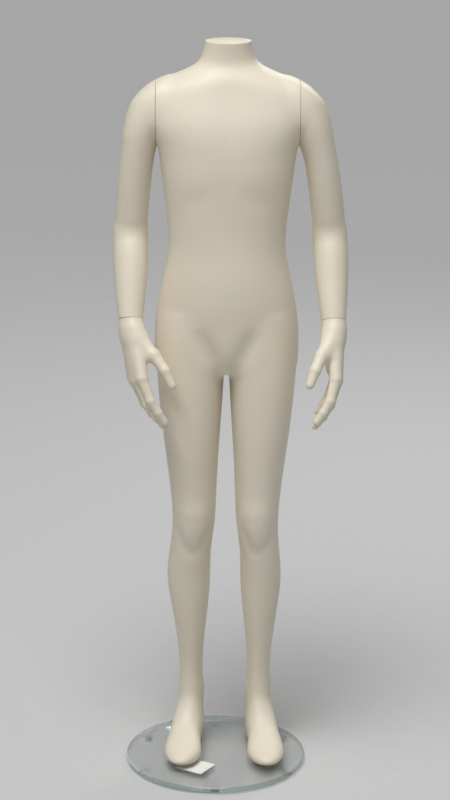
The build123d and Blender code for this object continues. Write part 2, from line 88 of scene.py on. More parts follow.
SEAM_X = joint_place("left_shoulder_turn")[0]
SHOULDER_Y, SHOULDER_Z = joint_place("left_shoulder_turn")[1:]
HALF_GAP = 0.3  # half the hairline at each joint
NECK_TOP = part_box("body_shell")[1].z / MM
SOLE_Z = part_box("body_shell")[0].z / MM
ELBOW = {"left": (168.0, 45.0, 915.0), "right": (-158.5, 45.0, 915.0)}
HOUSING_LOW, HOUSING_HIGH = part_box("left_shoulder_housing")
PEG_LOW, PEG_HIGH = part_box("left_arm_peg")
HOUSING_R = (HOUSING_HIGH.y - HOUSING_LOW.y) / MM / 2
PEG_FLANGE_R = (PEG_HIGH.y - PEG_LOW.y) / MM / 2
SLEEVE_STEP = 8.0  # from the rim of a shoulder housing in to its sleeve
WRIST_SLEEVE_R = 12.0
WRIST_SLEEVE_L = 26.0
HAND_FLANGE_R = 13.0
HAND_FLANGE_T = 3.0
WRIST_TURN = {"left": 0.0, "right": math.radians(24.0)}  # thumb towards the body

# ---------------------------------------------------------------- fields: negative inside, about millimetres


def b_spline(stations, samples=900):
    """A smooth curve that follows a list of rows: returns rows sampled along it, sorted by their first value."""
    rows = np.array(stations, float)
    rows = np.vstack([2 * rows[0] - rows[1], rows, 2 * rows[-1] - rows[-2]])
    t = np.linspace(0, len(rows) - 3, samples, endpoint=False)
    i = t.astype(int)
    f = (t - i)[:, None]
    weights = ((1 - f) ** 3, 3 * f**3 - 6 * f**2 + 4, -3 * f**3 + 3 * f**2 + 3 * f + 1, f**3)
    curve = sum(w * rows[i + k] for k, w in enumerate(weights)) / 6
    return curve[np.argsort(curve[:, 0])]


class Track:
    """Section sizes along an axis, looked up smoothly by distance."""

    def __init__(self, stations):
        self.curve = b_spline(stations)

    def at(self, where):
        return [np.interp(where, self.curve[:, 0], column) for column in self.curve.T[1:]]


def soft_min(a, b, blend):
    """Union of two fields with a fillet of about this size."""
    h = np.maximum(blend - np.abs(a - b), 0) / np.maximum(blend, 1e-6)
    return np.minimum(a, b) - h * h * blend / 4


def soft_max(a, b, blend):
    return -soft_min(-a, -b, blend)


def superellipse(u, v, half_u, low_v, high_v, mid_v, power):
    """In-plane distance to an outline whose two halves in v differ in depth."""
    half_v = np.where(v > mid_v, high_v - mid_v, mid_v - low_v)
    dv = v - mid_v
    norm = (np.abs(u / half_u) ** power + np.abs(dv / half_v) ** power) ** (1 / power)
    rho = np.sqrt(u * u + dv * dv)
    return np.where(norm > 1e-6, rho * (1 - 1 / np.maximum(norm, 1e-6)), -np.minimum(half_u, half_v))


def tapered(p, a, b, r0, r1):
    """A rod with round ends whose radius changes evenly along it."""
    a, b = np.array(a, float), np.array(b, float)
    ab = b - a
    share = np.clip((p - a) @ ab / (ab @ ab), 0, 1)
    return np.linalg.norm(p - a - share[:, None] * ab, axis=1) - (r0 + (r1 - r0) * share)


def swell(p, centre, size, height):
    """A soft hill that moves the surface outwards by its height, or inwards if negative."""
    scaled = (p - np.array(centre, float)) / np.array(size, float)
    return height * np.exp(-0.5 * np.einsum("ij,ij->i", scaled, scaled))


def groove(p, a, b, width, depth):
    """A soft trough along a line between two points."""
    a, b = np.array(a, float), np.array(b, float)
    ab = b - a
    share = np.clip((p - a) @ ab / (ab @ ab), 0, 1)
    away = np.linalg.norm(p - a - share[:, None] * ab, axis=1)
    return -depth * np.exp(-0.5 * (away / width) ** 2) * np.sin(np.pi * np.clip(share, 0.05, 0.95))


# ---------------------------------------------------------------- meshing a field

CORNERS = np.array([(i, j, k) for i in (0, 1) for j in (0, 1) for k in (0, 1)])
CELL_EDGES = [(a, b) for a in range(8) for b in range(a + 1, 8) if abs(CORNERS[a] - CORNERS[b]).sum() == 1]
COARSE = 4  # fine steps per coarse step
NEAR = 2.5  # coarse steps from the surface that are worked out finely
NEWTON_STEP = 0.05
SMOOTHING = 0.6  # share of the way to its neighbours that a vertex moves each round
SETTLE_ROUNDS = 5


def sample(field, low, high, step):
    """The field on a fine grid, worked out only near the surface."""
    wide = step * COARSE
    counts = np.ceil((np.array(high) - low) / wide).astype(int) + 1
    axes = [low[i] + wide * np.arange(counts[i]) for i in range(3)]
    grid = np.stack(np.meshgrid(*axes, indexing="ij"), -1).reshape(-1, 3)
    rough = field(grid).reshape(counts)
    values = rough
    for axis in range(3):
        values = np.repeat(values, COARSE, axis=axis)
    near = np.argwhere(np.abs(values) < wide * NEAR)
    values[tuple(near.T)] = field(low + near * step)
    return values.astype(np.float32)


def surface_net(values, start, step):
    """Vertices and quads of a field's zero surface."""
    inside = values < 0
    n = np.array(values.shape) - 1
    cuts = [inside[i : n[0] + i, j : n[1] + j, k : n[2] + k] for i, j, k in CORNERS]
    mixed = np.logical_or.reduce(cuts) & ~np.logical_and.reduce(cuts)
    cells = np.argwhere(mixed)
    number = np.full(tuple(n), -1, np.int64)
    number[tuple(cells.T)] = np.arange(len(cells))
    corner = np.stack([values[tuple((cells + c).T)] for c in CORNERS], 1)
    total = np.zeros((len(cells), 3))
    hits = np.zeros(len(cells))
    for a, b in CELL_EDGES:
        cross = (corner[:, a] < 0) != (corner[:, b] < 0)
        span = np.where(cross, corner[:, a] - corner[:, b], 1)
        share = np.where(cross, corner[:, a] / span, 0)
        point = CORNERS[a] + share[:, None] * (CORNERS[b] - CORNERS[a])
        total += point * cross[:, None]
        hits += cross
    points = start + (cells + total / hits[:, None]) * step
    quads = []
    for axis in range(3):
        along = np.zeros(3, int)
        along[axis] = 1
        u, v = np.roll(along, 1), np.roll(along, 2)
        ends = tuple(slice(1, n[i] if i != axis else n[i]) if i != axis else slice(0, n[i]) for i in range(3))
        first = inside[ends]
        second = inside[tuple(slice(s.start + along[i], s.stop + along[i]) for i, s in enumerate(ends))]
        edges = np.argwhere(first != second)
        base = edges + np.array([s.start for s in ends])
        ring = [number[tuple((base - off).T)] for off in (0 * u, u, u + v, v)]
        quad = np.stack(ring, 1)
        flip = ~first[tuple(edges.T)]
        quad[flip] = quad[flip][:, ::-1]
        quads.append(quad)
    return points, np.concatenate(quads)


def gradient(field, points):
    slope = np.empty_like(points)
    for axis in range(3):
        nudge = np.zeros(3)
        nudge[axis] = NEWTON_STEP
        slope[:, axis] = field(points + nudge) - field(points - nudge)
    return slope / (2 * NEWTON_STEP)


def settle(field, points, quads, step):
    """Evens out the vertices and draws them onto the exact surface."""
    pairs = np.concatenate([quads[:, [i, (i + 1) % 4]] for i in range(4)])
    pairs = np.unique(np.sort(pairs, axis=1), axis=0)
    both = np.concatenate([pairs, pairs[:, ::-1]])
    count = np.bincount(both[:, 0], minlength=len(points))
    for _ in range(SETTLE_ROUNDS):
        mean = np.stack([np.bincount(both[:, 0], points[both[:, 1], i], len(points)) for i in range(3)], 1)
        points = points * (1 - SMOOTHING) + mean / count[:, None] * SMOOTHING
        slope = gradient(field, points)
        size = np.maximum(np.einsum("ij,ij->i", slope, slope), 1e-4)
        move = -(field(points) / size)[:, None] * slope
        points = points + np.clip(move, -step, step)
    return points


def mesh_field(field, low, high, step):
    """A bmesh of a field's surface, in metres."""
    low, high = np.array(low, float), np.array(high, float)
    points, quads = surface_net(sample(field, low, high, step), low, step)
    points = settle(field, points, quads, step)
    mesh = bpy.data.meshes.new("field")
    mesh.vertices.add(len(points))
    mesh.vertices.foreach_set("co", (points * MM).ravel())
    mesh.loops.add(quads.size)
    mesh.loops.foreach_set("vertex_index", quads.ravel())
    mesh.polygons.add(len(quads))
    mesh.polygons.foreach_set("loop_start", np.arange(0, quads.size, 4))
    mesh.update(calc_edges=True)
    mesh.validate()
    bm = bmesh.new()
    bm.from_mesh(mesh)
    bpy.data.meshes.remove(mesh)
    bmesh.ops.recalc_face_normals(bm, faces=bm.faces)
    return bm


# ---------------------------------------------------------------- the shape of the body

# Trunk, top down: height, half width, front, widest line, back, squareness
TRUNK = [
    (1262.0, 33.5, -16.0, 26.0, 56.0, 2.0),
    (1244.0, 34.8, -14.5, 26.0, 58.0, 2.0),
    (1226.0, 37.5, -12.5, 26.0, 61.0, 2.0),
    (1208.0, 41.5, -11.0, 27.0, 66.0, 2.0),
    (1197.0, 47.5, -11.5, 28.0, 70.0, 2.0),
    (1187.0, 61.0, -16.0, 29.0, 75.0, 2.0),
    (1175.0, 90.0, -23.0, 30.0, 80.0, 2.1),
    (1161.0, 124.0, -27.0, 30.0, 84.0, 2.3),
    (1140.0, 139.0, -33.0, 29.0, 89.0, 2.4),
    (1105.0, 136.0, -44.0, 27.0, 95.0, 2.5),
    (1070.0, 114.5, -49.5, 24.0, 97.0, 2.5),
    (1040.0, 109.0, -50.5, 22.0, 96.0, 2.45),
    (1005.0, 105.5, -50.0, 20.0, 93.0, 2.4),
    (955.0, 99.0, -46.0, 18.0, 86.0, 2.3),
    (896.0, 92.5, -43.0, 18.0, 80.0, 2.2),
    (850.0, 103.0, -46.0, 22.0, 91.0, 2.2),
    (800.0, 114.0, -47.0, 28.0, 109.0, 2.2),
    (750.0, 117.5, -43.0, 33.0, 118.0, 2.3),
    (705.0, 114.0, -34.0, 36.0, 112.0, 2.3),
    (660.0, 104.0, -22.0, 38.0, 98.0, 2.3),
]
CROTCH_Z = 686.0
CROTCH_BLEND = 30.0
HIP_BLEND = 16.0

# Leg, top down: height, inner side, outer side, front, widest line, back, squareness
LEG = [
    (800.0, 14.0, 100.0, -24.0, 34.0, 96.0, 2.2),
    (750.0, 6.0, 113.5, -36.0, 36.0, 114.0, 2.4),
    (700.0, 3.2, 116.5, -39.0, 36.0, 113.0, 2.4),
    (650.0, 5.5, 113.0, -38.5, 34.0, 104.0, 2.3),
    (590.0, 9.3, 107.0, -36.5, 31.0, 96.0, 2.2),
    (530.0, 13.3, 99.0, -32.0, 29.0, 89.0, 2.1),
    (470.0, 16.0, 91.3, -25.5, 28.0, 80.0, 2.1),
    (420.0, 17.3, 87.5, -20.0, 28.0, 75.0, 2.1),
    (371.0, 25.5, 90.0, -11.5, 34.0, 74.0, 2.1),
    (320.0, 25.8, 96.3, -1.0, 44.0, 88.0, 2.1),
    (263.0, 28.8, 90.0, 7.5, 50.0, 94.0, 2.1),
    (202.0, 36.0, 81.5, 19.0, 54.0, 89.0, 2.0),
    (145.0, 38.7, 76.8, 30.0, 58.0, 87.0, 2.0),
    (100.0, 37.0, 79.5, 28.0, 60.0, 92.0, 2.0),
    (60.0, 36.0, 80.0, 20.0, 61.0, 98.0, 2.0),
    (20.0, 36.0, 80.0, 20.0, 61.0, 98.0, 2.0),
]
LEG_TOP_Z = 785.0
LEG_LOW_Z = 40.0
LEG_END_ROUND = 10.0

# Foot, heel to toe: run, inner side, outer side, underside, widest height, top, squareness
FOOT_TURN_OUT = math.radians(5.5)
HEEL = (56.0, 106.0)
FOOT = [
    (-14.0, -4.0, 4.0, 34.0, 40.0, 46.0, 2.0),
    (0.0, -16.0, 16.0, 22.0, 36.0, 60.0, 2.0),
    (12.0, -22.5, 23.5, 14.0, 34.0, 78.0, 2.2),
    (30.0, -24.5, 26.0, 12.5, 33.0, 90.0, 2.3),
    (56.0, -23.5, 26.0, 13.0, 32.0, 90.0, 2.3),
    (84.0, -23.0, 27.5, 14.0, 30.0, 78.0, 2.3),
    (115.0, -27.5, 31.0, 13.5, 28.0, 60.0, 2.4),
    (146.0, -33.0, 33.0, 13.0, 27.0, 48.0, 2.4),
    (170.0, -32.5, 32.0, 13.5, 27.0, 44.0, 2.3),
    (210.0, -30.0, 29.0, 14.5, 27.0, 42.0, 2.2),
]
FOOT_RUN = (-14.0, 195.0)
FOOT_END_ROUND = 1.5
TOE_ROUND_START = 136.0
TOE_END_SHARE = 0.998  # of the rounded length, so that the last section isn't a point
INSTEP = ((20, 60), (34.0, 5.0))  # the blend from foot to leg, from the instep back to the heel

# Shoulder and upper arm, top down: height, way out to the elbow, middle (front to back), half width, half depth
ARM = [
    (1176.0, 110.0, 26.0, 8.0, 14.0),
    (1166.0, 112.0, 26.0, 18.0, 27.0),
    (1154.0, 115.0, 26.0, 27.5, 34.5),
    (1138.0, 119.0, 26.0, 35.0, 40.5),
    (1110.0, 127.0, 26.0, 38.0, 43.5),
    (1080.0, 139.0, 26.5, 31.5, 40.5),
    (1048.0, 149.5, 28.5, 26.5, 36.0),
    (1000.0, 157.8, 34.0, 27.0, 33.5),
    (955.0, 163.6, 39.5, 27.0, 31.5),
    (915.0, 168.0, 44.0, 26.5, 31.0),
    (880.0, 170.0, 50.0, 26.0, 30.0),
]
ARM_REFERENCE_X = 139.0  # the arms part company below here, towards elbows of different widths
ELBOW_CUT_Z = 896.0
SHOULDER_LINE = (115.0, 1160.0, 0.45)  # a place on the slope from the neck, and its fall
SHOULDER_ROUND = 12.0
ELBOW_CAP_ROUND = 26.0
ARM_POWER = 2.05

# Forearm and wrist: distance from the elbow, half width, half depth
FOREARM_L = 148.0
FOREARM = [
    (-30.0, 23.0, 27.0),
    (0.0, 27.5, 31.0),
    (35.0, 28.6, 31.0),
    (75.0, 27.3, 29.0),
    (115.0, 23.5, 26.0),
    (148.0, 20.3, 23.0),
    (166.0, 18.4, 21.6),
    (186.0, 17.2, 21.5),
    (206.0, 16.8, 22.5),
]
FOREARM_TOP = -16.0
FOREARM_TOP_ROUND = 20.0
ELBOW_BLEND = 9.0

TRUNK_TRACK, LEG_TRACK, FOOT_TRACK = Track(TRUNK), Track(LEG), Track(FOOT)
ARM_TRACK, FOREARM_TRACK = Track(ARM), Track(FOREARM)


def steep(section, where, *rest):
    """A section's in-plane distance, corrected for how fast the section changes along its axis."""
    here = section(where, *rest)
    return here / np.sqrt(1 + (section(where + 1, *rest) - here) ** 2)


def trunk_section(z, x, y):
    half, front, middle, back, power = TRUNK_TRACK.at(z)
    return superellipse(x, y, half, front, back, middle, power)


def leg_section(z, x, y):
    inner, outer, front, middle, back, power = LEG_TRACK.at(z)
    return superellipse(x - (inner + outer) / 2, y, (outer - inner) / 2, front, back, middle, power)


def foot_section(run, across, z):
    inner, outer, low, middle, high, power = FOOT_TRACK.at(run)
    past = np.clip((run - TOE_ROUND_START) / (FOOT_RUN[1] - TOE_ROUND_START), 0, TOE_END_SHARE)
    share = np.sqrt(1 - past**2)
    half = (outer - inner) / 2 * share
    low, high = middle - (middle - low) * share, middle + (high - middle) * share
    return superellipse(across - (inner + outer) / 2, z, half, low, high, middle, power)


def foot(p):
    c, s = math.cos(FOOT_TURN_OUT), math.sin(FOOT_TURN_OUT)
    dx, dy = p[:, 0] - HEEL[0], p[:, 1] - HEEL[1]
    run, across = dx * s - dy * c, dx * c + dy * s
    shape = steep(foot_section, run, across, p[:, 2])
    ends = np.maximum(FOOT_RUN[0] - run, run - FOOT_RUN[1])
    return soft_max(shape, ends, FOOT_END_ROUND)


def arm_section(z, x, y, side):
    """One arm's section; side is the name of the arm, because its elbow's width differs."""
    middle_x, middle_y, half_x, half_y = ARM_TRACK.at(z)
    share = (abs(ELBOW[side][0]) - ARM_REFERENCE_X) / (ELBOW["left"][0] - ARM_REFERENCE_X)
    beyond = np.maximum(middle_x - ARM_REFERENCE_X, 0)
    middle_x = middle_x - beyond + beyond * share
    return superellipse(x - middle_x, y, half_x, middle_y - half_y, middle_y + half_y, middle_y, ARM_POWER)


def upper_arm(p, side):
    shape = steep(arm_section, p[:, 2], p[:, 0], p[:, 1], side)
    x, z, fall = SHOULDER_LINE
    above = (p[:, 2] - z + fall * (p[:, 0] - x)) / math.hypot(1, fall)
    shape = soft_max(shape, above, SHOULDER_ROUND)
    return soft_max(shape, ELBOW_CUT_Z - p[:, 2], ELBOW_CAP_ROUND)


def trunk_and_legs(p):
    """Everything but the arms, for points folded onto the figure's left side."""
    x, y, z = p.T
    trunk = soft_max(steep(trunk_section, z, x, y), CROTCH_Z - z, CROTCH_BLEND)
    leg = steep(leg_section, z, x, y)
    leg = soft_max(soft_max(leg, z - LEG_TOP_Z, LEG_END_ROUND), LEG_LOW_Z - z, LEG_END_ROUND)
    shape = soft_min(trunk, leg, HIP_BLEND)
    return soft_min(shape, foot(p), np.interp(y, *INSTEP))


def modelling(p):
    """Soft anatomy on the trunk and legs, for points folded onto the figure's left side.

    Each hill has a centre, a spread and a height, and each trough two ends, a width and a depth.
    """
    chest = swell(p, (52, -48, 1095), (42, 40, 34), 3.2)
    ribs = swell(p, (58, -48, 1020), (40, 40, 26), 1.6) + groove(p, (20, -52, 1005), (75, -30, 965), 12, 1.2)
    belly = swell(p, (0, -46, 850), (52, 40, 50), 3.0)
    groin = groove(p, (54, -38, 778), (-4, -44, 660), 11, 6.0) + swell(p, (0, -42, 725), (24, 26, 26), 3.0)
    spine = groove(p, (0, 92, 1165), (0, 84, 830), 11, 4.0) + swell(p, (26, 86, 900), (20, 30, 70), 1.6)
    blade = swell(p, (62, 92, 1095), (30, 30, 36), 3.0) + groove(p, (36, 98, 1060), (100, 84, 1050), 14, 1.2)
    seat = swell(p, (54, 118, 752), (42, 40, 48), 5.0) + groove(p, (0, 124, 820), (0, 112, 690), 9, 13.0)
    fold = groove(p, (8, 114, 698), (92, 100, 704), 15, 3.0)
    knee = swell(p, (54, -18, 424), (18, 22, 27), 6.0) + swell(p, (54, -22, 450), (17, 20, 9), 1.4)
    knee += groove(p, (26, -10, 424), (40, -14, 376), 7, 3.0) + groove(p, (84, -8, 424), (68, -12, 376), 7, 3.0)
    knee += groove(p, (30, -12, 379), (78, -10, 379), 8, 2.6)
    back_of_knee = swell(p, (52, 78, 425), (18, 22, 34), -2.0)
    calf = swell(p, (44, 84, 318), (22, 26, 44), 2.6) + swell(p, (76, 82, 334), (18, 26, 40), 1.8)
    shin = swell(p, (55, 2, 290), (9, 20, 90), 1.2)
    ankle = swell(p, (37, 56, 106), (8, 10, 11), 2.6) + swell(p, (78, 66, 96), (8, 10, 12), 2.4)
    tendon = swell(p, (48, 82, 125), (8, 14, 34), -1.6) + swell(p, (70, 84, 125), (8, 14, 34), -1.6)
    arch = swell(p, (36, 20, 22), (12, 34, 12), -3.0)
    return (chest + ribs + belly + groin + spine + blade + seat + fold + knee + back_of_knee
            + calf + shin + ankle + tendon + arch)


RIGHT_CALF = (-93.0, 44.0, 330.0)  # the right calf is a little fuller on its outer side


def folded(p):
    """Points folded onto the figure's left side."""
    return np.column_stack([np.abs(p[:, 0]), p[:, 1:]])


ARMPIT = ((1066, 1100, 1130), (0.5, 14.0, 18.0))  # the blend from arm to trunk, by height
ARM_LOW_Z = 1040.0  # the body's share of the arm stays above this
TRUNK_LOW_Z = 1060.0  # the arm's share of the trunk stays above this
TRUNK_END = (1072.0, 6.0)
PAST_SEAM = 3.0
MODELLED = 30.0  # distance from the surface within which the anatomy is worked out


def shoulder_blend(z):
    """How softly arm and trunk run together: not at all below the armpit."""
    return np.interp(z, *ARMPIT)


def body_field(p):
    q = folded(p)
    shape = trunk_and_legs(q)
    high = q[:, 2] > ARM_LOW_Z
    if high.any():
        part = q[high]
        arm = soft_max(upper_arm(part, "left"), part[:, 0] - SEAM_X - PAST_SEAM, 1.0)
        shape[high] = soft_min(shape[high], arm, shoulder_blend(part[:, 2]))
    near = np.abs(shape) < MODELLED
    shape[near] -= modelling(q[near]) + swell(p[near], RIGHT_CALF, (16, 34, 50), 4.0)
    return shape


def forearm_frame(side):
    """Columns: across towards the figure's left, forward, and along towards the fingers."""
    along = joint_axis(f"{side}_wrist_turn")
    across = np.array([1.0, 0, 0]) - along[0] * along
    across /= np.linalg.norm(across)
    return np.column_stack([across, np.cross(along, across), along])


def forearm_section(run, u, v):
    half_x, half_y = FOREARM_TRACK.at(run)
    return superellipse(u, v, half_x, -half_y, half_y, 0.0, 2.0)


def arm_field(side):
    axes, elbow = forearm_frame(side), np.array(ELBOW[side])

    def field(p):
        q = folded(p)
        along = (p - elbow) @ axes
        lower = steep(forearm_section, along[:, 2], along[:, 0], along[:, 1])
        lower = soft_max(lower, FOREARM_TOP - along[:, 2], FOREARM_TOP_ROUND)
        shape = soft_min(upper_arm(q, side), lower, ELBOW_BLEND)
        high = q[:, 2] > TRUNK_LOW_Z
        if high.any():
            part = q[high]
            trunk = trunk_and_legs(part) - modelling(part)
            trunk = soft_max(trunk, TRUNK_END[0] - part[:, 2], TRUNK_END[1])
            shape[high] = soft_min(trunk, shape[high], shoulder_blend(part[:, 2]))
        point = swell(q, (abs(elbow[0]) + 4, elbow[1] + 30, elbow[2] + 4), (12, 12, 16), 2.6)
        crook = swell(along, (0, 24, 6), (16, 14, 12), -1.5)
        biceps = swell(q, (abs(elbow[0]) - 8, 12, 1010), (20, 20, 40), 1.6)
        flexors = swell(along, (0, 16, 42), (16, 16, 26), 1.5)
        return shape - (point + crook + biceps + flexors)

    return field


# ---------------------------------------------------------------- the shape of a hand

# Joints of each finger from knuckle to tip, in the right hand's frame: towards the body, forward, along; radius
FINGERS = {
    "index": [(-3, 19, 100, 9.3), (6, 19.5, 136, 7.7), (17, 17.5, 154, 7.0), (27, 14.5, 168, 6.0)],
    "middle": [(-5, 5.5, 102, 9.4), (6, 5.5, 140, 7.9), (18, 5, 159, 7.1), (29, 4, 173, 6.0)],
    "ring": [(-5, -8, 100, 9.0), (7, -8, 135, 7.5), (18, -6.5, 153, 6.8), (28, -5, 166, 5.7)],
    "little": [(-3, -20, 93, 8.2), (8, -20, 121, 6.7), (17, -18.5, 135, 6.0), (25, -17, 146, 5.1)],
}
THUMB = [(5, 13, 34, 10.5), (20, 28, 62, 10.8), (31, 38, 88, 8.8), (39, 39, 111, 7.2)]
HAND_LEAN = {"left": 0.05, "right": 0.16}  # drift towards the body per length
WRIST_END = (40.0, 16.0)  # where the wrist's own sections end inside the palm, and how softly
WRIST_TOP = (22.0, 2.0)
PALM_ROOTS = {"index": (0, 11, 22), "middle": (-2, 3, 20), "ring": (-2, -5, 20), "little": (0, -11, 22)}


ROOT_R = 14.0  # of the palm's bones at the wrist
KNUCKLE_EXTRA = 1.0
PALM_BLEND, PALM_TO_WRIST, THUMB_TO_PALM = 9.0, 14.0, 8.0
FINGER_BLEND, FINGER_TO_PALM, THUMB_BLEND = 3.0, 2.2, 4.0
THENAR = ((9, 14, 34), (13, 22, 62), 11.5, 9.0, 12.0)  # ends, radii and blend of the pad under the thumb
HEEL_PAD = ((5, -14, 36), (3, -20, 74), 11.0, 9.0, 10.0)  # the same on the little finger's side
HOLLOW = ((12, 0, 78), (9, 14, 20), -2.5)
JOINT_BACK = 0.8  # of a joint's radius, out to the back of the finger
JOINT_SIZE, JOINT_LIFT = (4, 5, 6), 0.7


def chain(q, places, blend):
    """Tapered bones through a list of joints, run softly together."""
    shape = None
    for a, b in zip(places, places[1:]):
        bone = tapered(q, a[:3], b[:3], a[3], b[3])
        shape = bone if shape is None else soft_min(shape, bone, blend)
    return shape


def hand_field(q):
    """A right hand in its own frame."""
    wrist = steep(forearm_section, q[:, 2] + FOREARM_L, q[:, 0], q[:, 1])
    shape = soft_max(wrist, q[:, 2] - WRIST_END[0], WRIST_END[1])
    shape = soft_max(shape, -WRIST_TOP[0] - q[:, 2], WRIST_TOP[1])
    palm = None
    for name, places in FINGERS.items():
        knuckle = places[0]
        bone = tapered(q, PALM_ROOTS[name], knuckle[:3], ROOT_R, knuckle[3] + KNUCKLE_EXTRA)
        palm = bone if palm is None else soft_min(palm, bone, PALM_BLEND)
    for start, end, start_r, end_r, blend in (THENAR, HEEL_PAD):
        palm = soft_min(palm, tapered(q, start, end, start_r, end_r), blend)
    palm -= swell(q, *HOLLOW)
    shape = soft_min(shape, palm, PALM_TO_WRIST)
    for places in FINGERS.values():
        finger = chain(q, places, FINGER_BLEND)
        for x, y, z, r in places[:3]:
            finger = finger - swell(q, (x - r * JOINT_BACK, y, z), JOINT_SIZE, JOINT_LIFT)
        shape = soft_min(shape, finger, FINGER_TO_PALM)
    return soft_min(shape, chain(q, THUMB, THUMB_BLEND), THUMB_TO_PALM)


# ---------------------------------------------------------------- cutting the shells and closing their ends

LIP_STEPS = 3
RING_POINTS = 72
WELD = 0.6
POCKET_REACH = 60.0  # an outline further from the pocket's centre than this is closed flat
SEAM_CUT_LOW = 1.045  # metres; the body's shoulder cuts stay above this


def vector(p):
    return Vector([c * MM for c in p])


def cut(bm, point, normal, keep=None):
    """Cuts off what lies beyond a plane, and returns the edges round the hole.

    keep says which faces can be cut, from their middles.
    """
    faces = [f for f in bm.faces if keep is None or keep(f.calc_center_median())]
    # A dict keeps its order, so that every run cuts alike, which a set of mesh parts doesn't
    geometry = dict.fromkeys(faces)
    for f in faces:
        geometry.update(dict.fromkeys((*f.edges, *f.verts)))
    result = bmesh.ops.bisect_plane(
        bm, geom=list(geometry), plane_co=vector(point), plane_no=Vector(normal), clear_outer=True, dist=1e-6)
    edges = [g for g in result["geom_cut"] if isinstance(g, bmesh.types.BMEdge) and g.is_valid]
    return [e for e in edges if e.is_boundary]


def loops_of(edges):
    """Closed rings of vertices from boundary edges."""
    links = {}
    for e in edges:
        for v in e.verts:
            links.setdefault(v, []).append(e)
    rings, seen = [], set()
    for first in links:
        if first in seen:
            continue
        ring, v, came = [], first, None
        while v not in seen:
            seen.add(v)
            ring.append(v)
            came = next(e for e in links[v] if e is not came)
            v = came.other_vert(v)
        rings.append(ring)
    return rings


def bridge(bm, outer, inner):
    """Quads between two rings with the same number of vertices."""
    for i in range(len(outer)):
        j = (i + 1) % len(outer)
        bm.faces.new((outer[i], outer[j], inner[j], inner[i]))


def close_end(bm, edges, normal, lip, centre=None, pocket=()):
    """Rounds the edge of each cut outline and closes it, round a stepped pocket where the centre is given.

    pocket is a list of (radius, depth) steps, and the last step is its bottom.
    """
    normal = Vector(normal).normalized()
    verts = list(dict.fromkeys(v for e in edges for v in e.verts))
    bmesh.ops.remove_doubles(bm, verts=verts, dist=WELD * MM)
    edges = [e for e in bm.edges if e.is_boundary]
    for ring in loops_of(edges):
        middle = sum((v.co for v in ring), Vector()) / len(ring)
        inward = []
        for i, v in enumerate(ring):
            along = ring[(i + 1) % len(ring)].co - ring[i - 1].co
            side = normal.cross(along).normalized()
            inward.append(side if side.dot(middle - v.co) > 0 else -side)
        last = ring
        for step in range(1, LIP_STEPS + 1):
            turn = step / LIP_STEPS * math.pi / 2
            move_in, move_out = lip * (1 - math.cos(turn)) * MM, lip * math.sin(turn) * MM
            new = [bm.verts.new(v.co + inward[i] * move_in + normal * move_out) for i, v in enumerate(ring)]
            bridge(bm, last, new)
            last = new
        rim = [bm.edges.get((last[i], last[(i + 1) % len(last)])) for i in range(len(last))]
        if centre is None or (middle - vector(centre)).length > POCKET_REACH * MM:
            bm.faces.new(last)
            continue
        level = last[0].co
        hub = vector(centre)
        hub += normal * (level - hub).dot(normal)
        across = normal.orthogonal().normalized()
        up = normal.cross(across)
        circles = []
        for radius, depth in pocket:
            circle = []
            for k in range(RING_POINTS):
                a = 2 * math.pi * k / RING_POINTS
                spot = hub + (across * math.cos(a) + up * math.sin(a)) * radius * MM - normal * depth * MM
                circle.append(bm.verts.new(spot))
            circles.append(circle)
        first = [bm.edges.new((circles[0][k], circles[0][(k + 1) % RING_POINTS])) for k in range(RING_POINTS)]
        bmesh.ops.triangle_fill(bm, use_beauty=True, edges=rim + first)
        for a, b in zip(circles, circles[1:]):
            bridge(bm, a, b)
        bm.faces.new(circles[-1])


SHARP_ANGLE = math.radians(35.0)


def finish_shell(bm, name, body, node, material):
    """Turns a bmesh into a smooth-shaded piece that stands for a CAD node."""
    bmesh.ops.recalc_face_normals(bm, faces=bm.faces)
    mesh = bpy.data.meshes.new(name)
    bm.to_mesh(mesh)
    bm.free()
    mesh.shade_smooth()
    mesh.set_sharp_from_angle(angle=SHARP_ANGLE)
    mesh.materials.append(material)
    piece = bpy.data.objects.new(name, mesh)
    bpy.context.scene.collection.objects.link(piece)
    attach(piece, body)
    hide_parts(node)
    return piece


# ---------------------------------------------------------------- materials


def new_material(name):
    material = bpy.data.materials.new(name)
    material.use_nodes = True
    nodes = material.node_tree.nodes
    return material, nodes, material.node_tree.links, nodes["Principled BSDF"]


def add_noise(nodes, links, scale, detail, roughness=0.5):
    place = nodes.new("ShaderNodeTexCoord")
    noise = nodes.new("ShaderNodeTexNoise")
    noise.inputs["Scale"].default_value = scale
    noise.inputs["Detail"].default_value = detail
    noise.inputs["Roughness"].default_value = roughness
    links.new(place.outputs["Object"], noise.inputs["Vector"])
    return noise


def spread(nodes, links, source, low, high, to_low, to_high):
    """Maps part of a value's range onto another range."""
    node = nodes.new("ShaderNodeMapRange")
    for socket, value in (("From Min", low), ("From Max", high), ("To Min", to_low), ("To Max", to_high)):
        node.inputs[socket].default_value = value
    links.new(source, node.inputs["Value"])
    return node.outputs["Result"]


def two_tone(nodes, links, factor, first, second):
    node = nodes.new("ShaderNodeMix")
    node.data_type = "RGBA"
    node.inputs["A"].default_value = (*first, 1)
    node.inputs["B"].default_value = (*second, 1)
    links.new(factor, node.inputs["Factor"])
    return node.outputs["Result"]


def add_bump(nodes, links, height, shader, distance, strength, after=None):
    node = nodes.new("ShaderNodeBump")
    node.inputs["Distance"].default_value = distance
    node.inputs["Strength"].default_value = strength
    links.new(height, node.inputs["Height"])
    if after is not None:
        links.new(after.outputs["Normal"], node.inputs["Normal"])
    links.new(node.outputs["Normal"], shader.inputs["Normal"])
    return node


